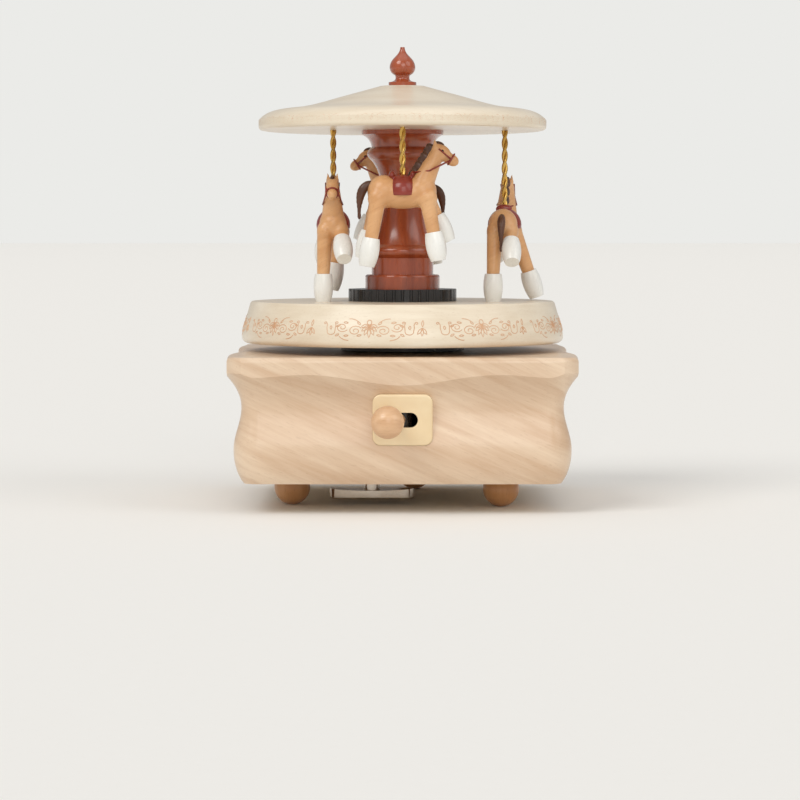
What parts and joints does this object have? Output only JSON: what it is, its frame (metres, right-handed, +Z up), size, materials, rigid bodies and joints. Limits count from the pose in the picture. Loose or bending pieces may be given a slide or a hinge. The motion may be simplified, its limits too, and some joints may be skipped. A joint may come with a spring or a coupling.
{
  "type": "carousel music box",
  "caption": "Wind-up wooden music box: moulded maple base on ball feet with a stop lever and a key below, carrying a rotating carousel deck with small wooden ponies.",
  "frame": {"origin": "middle of the box round the whole object, on the surface it stands on; the turntable axis is 7.0 mm behind it, because the knob sticks out at the front", "axes": "+Z up along the turntable axis, +X to the right seen from the front, -Y towards the switch plate and knob"},
  "size_m": [0.1232, 0.1372, 0.1639],
  "materials": {
    "maple": "satin lacquered maple with diagonal grain",
    "plywood": "plain sanded plywood",
    "beech": "satin lacquered turned beech",
    "pear": "satin turned fruit wood",
    "pale_maple": "pale satin maple with a burnt scroll border",
    "mahogany": "red-brown stained, glossy lacquer",
    "pony_wood": "turned wood, satin",
    "ivory": "glossy cream plastic",
    "nickel": "bright nickel plate",
    "white_paint": "white enamel paint on turned wood",
    "red_paint": "red-brown enamel paint on wood",
    "brown_paint": "dark brown paint on wood",
    "black": "black, half gloss",
    "brass": "bright turned brass",
    "steel": "plain steel",
    "zinc": "cast and blasted zinc alloy",
    "felt": "thin pressed felt"
  },
  "bodies": {
    "base": {"ball_foot_left": "beech", "ball_foot_rear": "beech", "ball_foot_right": "beech", "base_housing": "maple", "bedplate": "zinc", "bedplate_screws": "steel", "bottom_cover": "plywood", "comb": "steel", "comb_bridge": "zinc", "comb_screws": "steel", "cover_screws": "steel", "frame_plate_left": "zinc", "frame_plate_right": "zinc", "lever_pin": "steel", "one_way_clutch": "steel", "spindle_bush": "brass", "spindle_step": "brass", "switch_plate": "ivory", "thrust_washer": "felt"},
    "turntable": {"spindle": "steel", "spindle_pinion": "brass", "drive_flange": "black", "turntable_disc": "pale_maple", "upper_plate": "black", "column_foot": "mahogany", "column": "mahogany", "canopy": "pale_maple", "finial": "mahogany", "canopy_poles": "brass", "pony_hooves": "white_paint", "pony_left": "pony_wood", "pony_right": "pony_wood", "pony_front": "pony_wood", "pony_rear": "pony_wood", "pony_saddles": "red_paint", "pony_manes": "brown_paint", "pony_tails": "brown_paint"},
    "barrel": {"barrel_drum": "brass", "barrel_cap": "brass", "mainspring": "steel"},
    "key": {"winding_key": "nickel", "winding_arbor": "steel", "arbor_core": "steel"},
    "cylinder": {"pinned_cylinder": "brass", "cylinder_arbor": "steel", "crown_pinion": "brass", "cylinder_wheel": "brass"},
    "idler": {"idler_arbor": "steel", "idler_pinion": "steel", "idler_wheel": "brass"},
    "fly": {"fly_arbor": "steel", "fly_pinion": "steel", "fly_brake_drum": "black", "fly_blades": "black"},
    "lever": {"lever_hub": "black", "lever_stem": "pear", "lever_knob": "pear"}
  },
  "joints": [
    {"name": "turntable_spin", "type": "hinge", "parent": "base", "child": "turntable", "pos_m": [0, 0.00704, 0.0575], "axis": [0, 0, 1], "continuous": true},
    {"name": "barrel_spin", "type": "hinge", "parent": "base", "child": "barrel", "pos_m": [-0.011, -0.00896, 0.0186], "axis": [0, 0, 1], "continuous": true},
    {"name": "key_wind", "type": "hinge", "parent": "base", "child": "key", "pos_m": [-0.011, -0.00896, 0.00195], "axis": [0, 0, 1], "continuous": true},
    {"name": "cylinder_spin", "type": "hinge", "parent": "base", "child": "cylinder", "pos_m": [0.00818, -0.00896, 0.03293], "axis": [1, 0, 0], "continuous": true},
    {"name": "idler_spin", "type": "hinge", "parent": "base", "child": "idler", "pos_m": [0.00818, -0.0187, 0.02731], "axis": [1, 0, 0], "continuous": true},
    {"name": "fly_spin", "type": "hinge", "parent": "base", "child": "fly", "pos_m": [0.00818, -0.02162, 0.03535], "axis": [1, 0, 0], "continuous": true},
    {"name": "stop_lever", "type": "hinge", "parent": "base", "child": "lever", "pos_m": [0, -0.04516, 0.0329], "axis": [0, 0, 1], "range_deg": [0, 32]}
  ],
  "couplings": [
    {"joint": "barrel_spin", "follows": "turntable_spin", "ratio": -0.27273},
    {"joint": "cylinder_spin", "follows": "turntable_spin", "ratio": -0.95455},
    {"joint": "idler_spin", "follows": "turntable_spin", "ratio": 3.8182},
    {"joint": "fly_spin", "follows": "turntable_spin", "ratio": -14.318}
  ]
}
